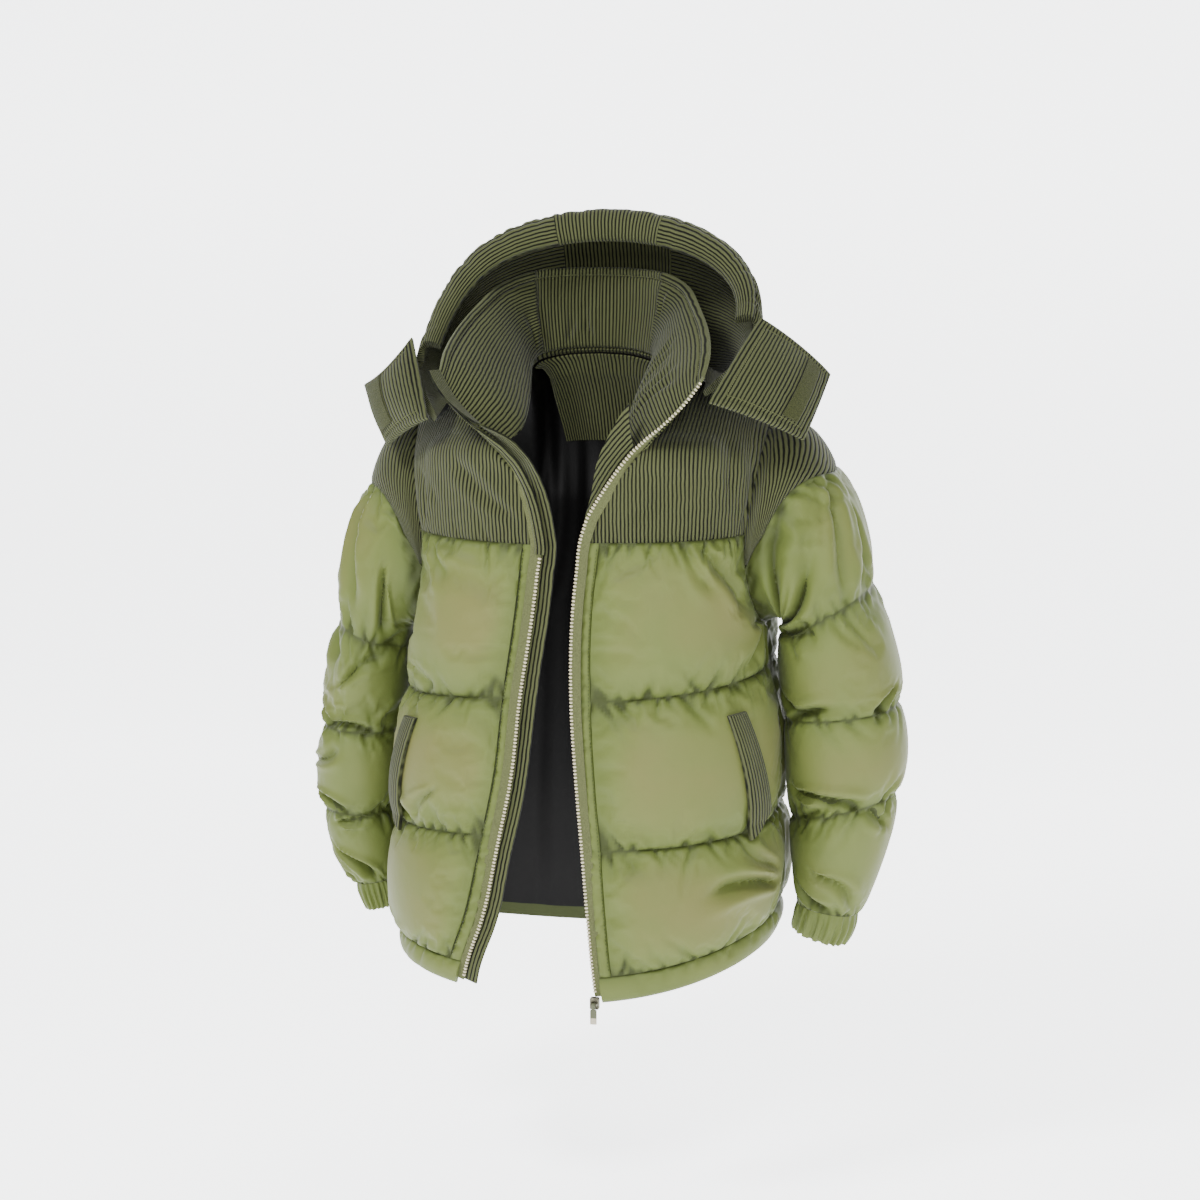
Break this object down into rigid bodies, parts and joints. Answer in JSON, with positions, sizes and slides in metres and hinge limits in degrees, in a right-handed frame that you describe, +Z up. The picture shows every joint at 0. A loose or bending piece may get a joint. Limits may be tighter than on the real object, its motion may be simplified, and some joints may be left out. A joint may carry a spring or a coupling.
{
  "type": "hooded puffer jacket",
  "caption": "Hip-length padded jacket worn open: quilted satin panels, corduroy yokes, collar and hood with throat flaps, slanted pockets, gathered cuffs and a full zip.",
  "frame": {"origin": "middle of the neck, level with the neck ends of the shoulder seams, where the wearer's shoulders and neck hold the jacket up", "axes": "+Z up; the wearer faces -Y; the wearer's left is +X"},
  "size_m": [0.699, 0.3525, 0.8929],
  "materials": {
    "satin": "light olive satin-faced padded cloth with a soft sheen",
    "corduroy": "dark olive corduroy with wales about 4.2 mm apart",
    "lining": "near-black smooth lining",
    "tape": "woven olive zip tape with cream teeth along its edge",
    "hook_tape": "matt olive hook and loop tape",
    "slider_metal": "satin grey-bronze metal",
    "pull_metal": "olive-grey coated metal"
  },
  "bodies": {
    "jacket": {"front_left": "satin", "front_right": "satin", "placket_left": "satin", "placket_right": "satin", "yoke_front_left": "corduroy", "yoke_front_right": "corduroy", "sleeve_left": "satin", "sleeve_right": "satin", "shoulder_insert_left": "corduroy", "shoulder_insert_right": "corduroy", "cuff_left": "satin", "cuff_right": "satin", "hood_flap_left": "corduroy", "hood_flap_right": "corduroy", "lining_front_left": "lining", "lining_front_right": "lining", "zip_tape_left": "tape", "zip_tape_right": "tape", "pocket_welt_left": "corduroy", "pocket_welt_right": "corduroy", "back": "satin", "yoke_back": "corduroy", "hem_front_left": "satin", "hem_front_right": "satin", "hem_back": "satin", "collar": "corduroy", "hood_side_left": "corduroy", "hood_centre": "corduroy", "hood_side_right": "corduroy", "lining_back": "lining", "neck_facing": "corduroy", "wind_flap_right": "corduroy", "facing_left": "corduroy", "closure_left": "hook_tape", "closure_right": "hook_tape", "zip_slider": "slider_metal"},
    "pull_tab": {"zip_pull": "pull_metal"}
  },
  "joints": [
    {"name": "pull_tab_hinge", "type": "hinge", "parent": "jacket", "child": "pull_tab", "pos_m": [0.03191, -0.16869, -0.68268], "axis": [-1, 0, 0], "range_deg": [-5, 150]}
  ]
}
